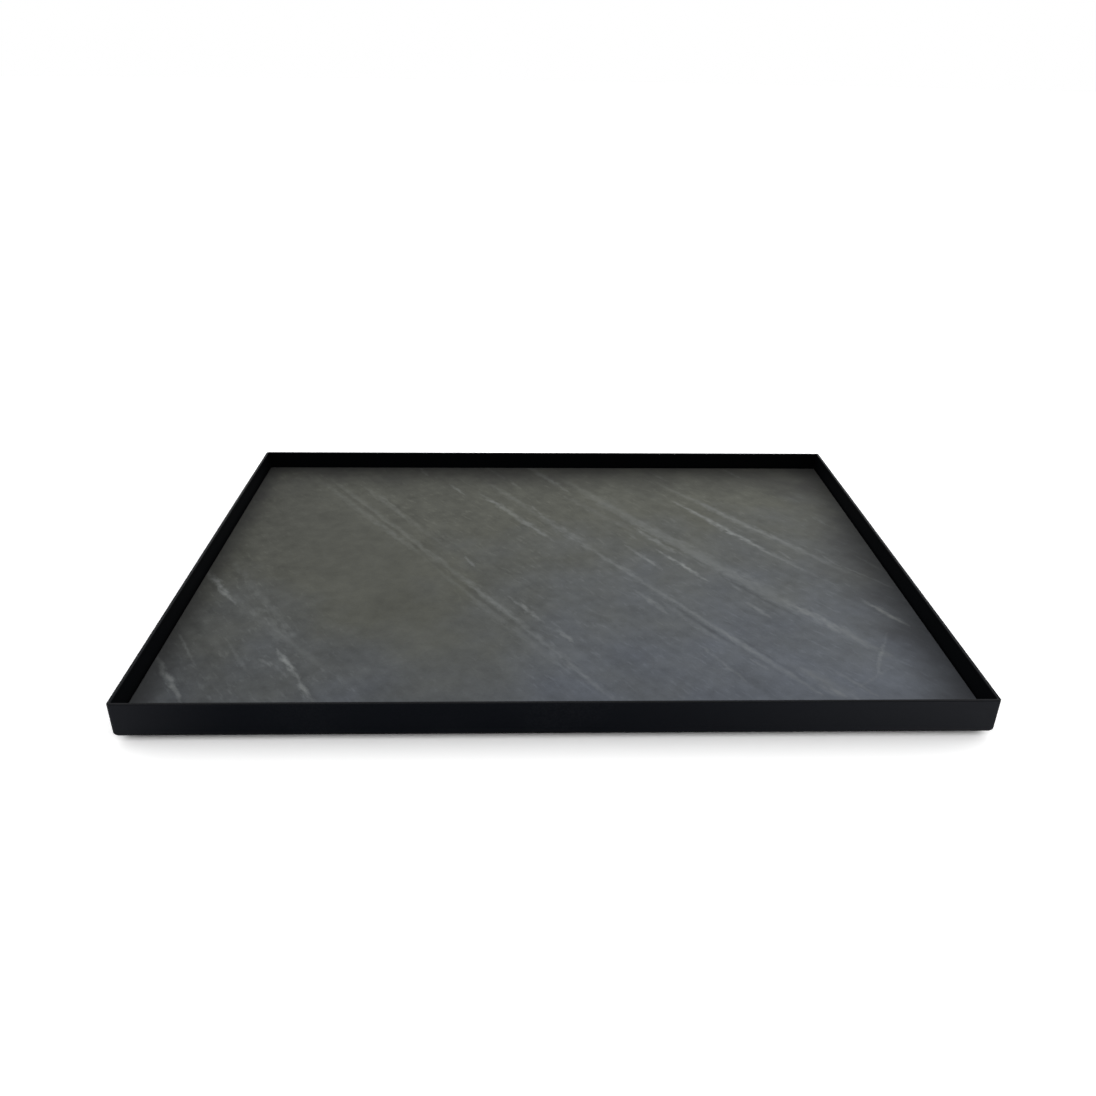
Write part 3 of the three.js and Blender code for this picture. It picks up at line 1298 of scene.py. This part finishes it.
@dataclass
class Studio:
    """A white floor under a soft sky that is brightest low down, at the rear and the sides.

    The belt's foot and top are heights on the sky, and the front is where the belt fades towards the camera.
    """

    radius: float = 12.0
    round_steps: int = 96
    paint: Colour = (0.82, 0.82, 0.82, 1.0)
    white: Colour = (1.5, 1.5, 1.5, 1.0)
    light: Colour = (1.0, 1.0, 1.0, 1.0)
    overhead: float = 0.5
    belt: float = 2.6
    belt_foot: Range = (0.04, 0.2)
    belt_top: Range = (0.75, 0.45)
    front: Range = (-0.75, -0.1)
    front_share: float = 0.05
    side_shares: Range = (0.85, 1.15)

    def build(self) -> None:
        """Makes the floor and the sky."""
        self._floor()
        self._sky()
        bpy.context.scene.view_settings.view_transform = "Standard"

    def _floor(self) -> bpy.types.Object:
        """A plain round floor.

        Returns:
            The floor.
        """
        form = bmesh.new()
        bmesh.ops.create_circle(form, cap_ends=True, radius=self.radius, segments=self.round_steps)
        floor = linked("floor", form)
        floor.data.materials.append(self._floor_paint())
        return floor

    def _floor_paint(self) -> bpy.types.Material:
        """Pale paint that the camera sees as white and that keeps shadows.

        Returns:
            The material.
        """
        material = bpy.data.materials.new("floor_paint")
        graph = Graph.emptied(material)
        shown = graph.mix(self._seen(graph), self.paint, self.white)
        shader = graph.add("ShaderNodeBsdfDiffuse", {"Color": shown})
        graph.add("ShaderNodeOutputMaterial", {"Surface": shader.outputs[0]})
        return material

    @staticmethod
    def _seen(graph: Graph) -> bpy.types.NodeSocket:
        """What the camera sees, told from what only lights.

        Args:
            graph: the graph of a material or of the sky.

        Returns:
            1 for what is seen, also in gloss and through glass, and 0 for the rest.
        """
        path = graph.add("ShaderNodeLightPath").outputs
        glossy = graph.math("MAXIMUM", path["Is Glossy Ray"], path["Is Transmission Ray"])
        return graph.math("MAXIMUM", path["Is Camera Ray"], glossy)

    def _sky(self) -> None:
        """The sky: a dim dome with a bright low belt that leaves the front dark, white to the camera."""
        world = bpy.data.worlds.new("sky")
        graph = Graph.emptied(world)
        direction = graph.add("ShaderNodeTexCoord").outputs["Generated"]
        ray = graph.add("ShaderNodeSeparateXYZ", {0: direction}).outputs
        foot = graph.span(ray["Z"], *self.belt_foot, smooth=True)
        belt = graph.math("MULTIPLY", foot, graph.span(ray["Z"], *self.belt_top, smooth=True))
        round_back = graph.span(ray["Y"], *self.front, self.front_share, 1.0, smooth=True)
        sides = graph.span(ray["X"], -1.0, 1.0, *self.side_shares)
        glow = graph.math("MULTIPLY", graph.math("MULTIPLY", belt, round_back), sides)
        lit = graph.math("MULTIPLY_ADD", glow, self.belt, self.overhead)
        strength = graph.math("MAXIMUM", lit, self._seen(graph))
        shader = graph.add("ShaderNodeBackground", {"Color": self.light, "Strength": strength})
        graph.add("ShaderNodeOutputWorld", {"Surface": shader.outputs[0]})
        bpy.context.scene.world = world


def main() -> None:
    """Builds the tray's pieces in order, then the studio round them."""
    logging.basicConfig(level=logging.INFO, format="%(name)s: %(message)s")
    PhotoCamera().build()
    groups = ShaderGroups()
    pieces = [
        SteelPan().build(PowderCoat(groups).make()),
        StoneSlab().build(VeinedStone(groups).make()),
        *BondTapes().build(FoamTape(groups).make()),
        BumperFeet().build(FootRubber(groups).make()),
    ]
    for piece in pieces:
        LOG.info("%s: %d faces", piece.name, len(piece.data.polygons))
    Studio().build()


if __name__ == "__main__":
    main()
